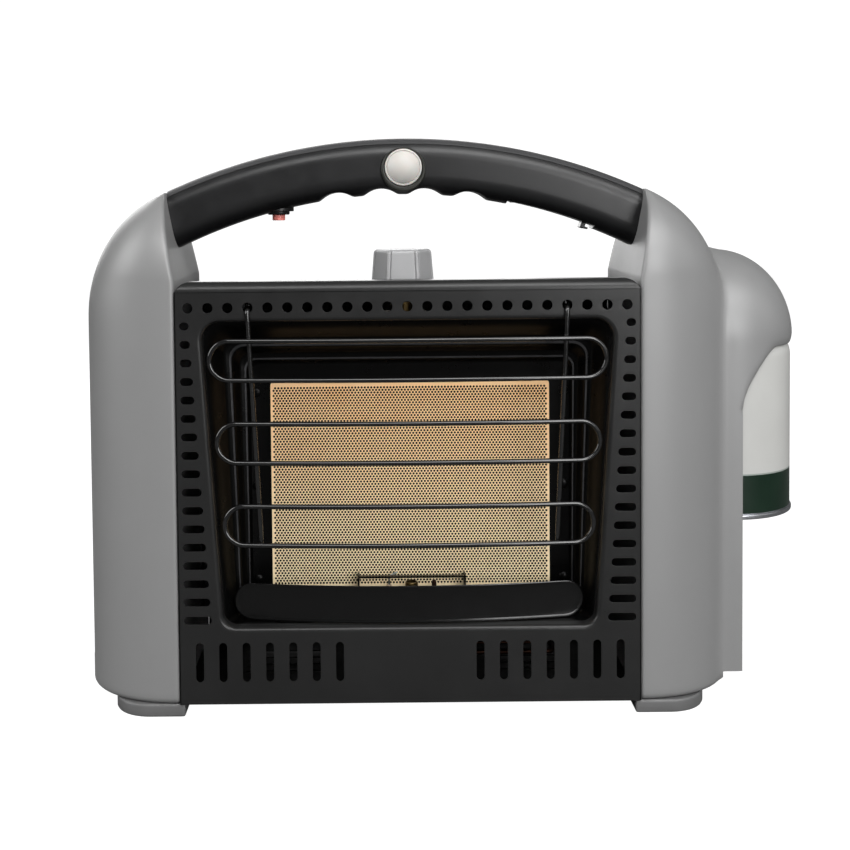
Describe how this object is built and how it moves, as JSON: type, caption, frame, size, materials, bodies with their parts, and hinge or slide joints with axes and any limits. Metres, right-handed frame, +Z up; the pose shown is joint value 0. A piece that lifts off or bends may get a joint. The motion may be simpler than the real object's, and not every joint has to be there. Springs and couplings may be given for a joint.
{
  "type": "portable cartridge gas heater",
  "caption": "Portable radiant gas heater with a ceramic burner behind wire guard loops, arched carrying handle with lamp, top knob and a gas cartridge hanging in an open side bay under a hood.",
  "frame": {"origin": "on the floor under the middle of the heater's overall width and depth", "axes": "+X to the cartridge side, which is the right of a viewer facing the burner; +Y from the burner to the back; +Z up"},
  "size_m": [0.4516, 0.1416, 0.3496],
  "materials": {
    "panel_plastic": "satin moulded silver-grey plastic",
    "foot_plastic": "matte darker grey plastic",
    "black_enamel": "black satin stove enamel",
    "guard_enamel": "black enamelled wire",
    "black_plastic": "black moulded plastic",
    "dark_plastic": "dark olive glossy plastic",
    "lens_plastic": "frosted clear plastic",
    "circuit_board": "green board with white diodes",
    "lead_insulation": "flexible lead insulation",
    "red_plastic": "red plastic",
    "bright_steel": "plated steel",
    "battery_label": "printed battery sleeve",
    "plaque_ceramic": "perforated fired ceramic",
    "gasket_fibre": "white ceramic fibre",
    "jet_brass": "turned brass",
    "electrode_ceramic": "fired ceramic sleeve",
    "pipe_copper": "drawn copper tube",
    "cast_alloy": "die-cast alloy",
    "seal_rubber": "soft black rubber",
    "can_paint": "white printed steel with a dark green band"
  },
  "bodies": {
    "heater": {"left_side_panel": "panel_plastic", "right_side_panel": "panel_plastic", "cartridge_hood": "panel_plastic", "front_frame": "black_enamel", "rear_cover": "black_enamel", "top_plate": "black_enamel", "base_plate": "black_enamel", "left_foot": "foot_plastic", "right_foot": "foot_plastic", "handle_shell": "black_plastic", "handle_top_cover": "black_plastic", "lamp_collar": "dark_plastic", "lamp_lens": "lens_plastic", "lamp_board": "circuit_board", "lamp_leads": "lead_insulation", "switch_housing": "black_plastic", "switch_spring": "bright_steel", "batteries": "battery_label", "battery_contacts": "bright_steel", "wire_guard": "guard_enamel", "reflector": "black_enamel", "deflector_plate": "black_enamel", "burner_plaque": "plaque_ceramic", "plaque_gasket": "gasket_fibre", "burner_pan": "bright_steel", "venturi_tube": "bright_steel", "gas_jet": "jet_brass", "pilot_bracket": "black_enamel", "pilot_burner": "jet_brass", "ignition_electrode": "electrode_ceramic", "ignition_lead": "lead_insulation", "thermocouple": "pipe_copper", "heat_shield": "bright_steel", "regulator": "cast_alloy", "regulator_seal": "seal_rubber", "regulator_bracket": "bright_steel", "inlet_pipe": "pipe_copper", "jet_pipe": "pipe_copper", "pilot_pipe": "pipe_copper", "gas_valve": "jet_brass", "valve_nut": "bright_steel", "knob_spring": "bright_steel", "handle_screws": "bright_steel", "rear_cover_screws": "bright_steel", "foot_screws": "bright_steel", "burner_screws": "bright_steel"},
    "spindle": {"valve_spindle": "bright_steel"},
    "knob": {"control_knob": "panel_plastic"},
    "light_button": {"switch_button": "red_plastic"},
    "battery_door": {"battery_cover": "black_plastic"},
    "cartridge": {"cartridge_can": "can_paint", "cartridge_base": "bright_steel", "cartridge_valve": "jet_brass"}
  },
  "joints": [
    {"name": "knob_turn", "type": "hinge", "parent": "heater", "child": "spindle", "pos_m": [-0.027, -0.01098, 0.25], "axis": [0, 0, 1], "range_deg": [0, 180]},
    {"name": "knob_push", "type": "slide", "parent": "spindle", "child": "knob", "axis": [0, 0, -1], "range_m": [0, 0.003], "stiffness_N_per_m": 1500, "springref_m": -0.0005, "deforming": ["knob_spring"]},
    {"name": "light_press", "type": "slide", "parent": "heater", "child": "light_button", "axis": [0, 0, 1], "range_m": [0, 0.0018], "stiffness_N_per_m": 600, "springref_m": -0.0005, "deforming": ["switch_spring"]},
    {"name": "battery_door_swing", "type": "hinge", "parent": "heater", "child": "battery_door", "pos_m": [0.04317, -0.00798, 0.31018], "axis": [0, 1, 0], "range_deg": [0, 70]},
    {"name": "cartridge_lower", "type": "slide", "parent": "heater", "child": "cartridge", "axis": [0, 0, -1], "range_m": [0, 0.092]}
  ]
}
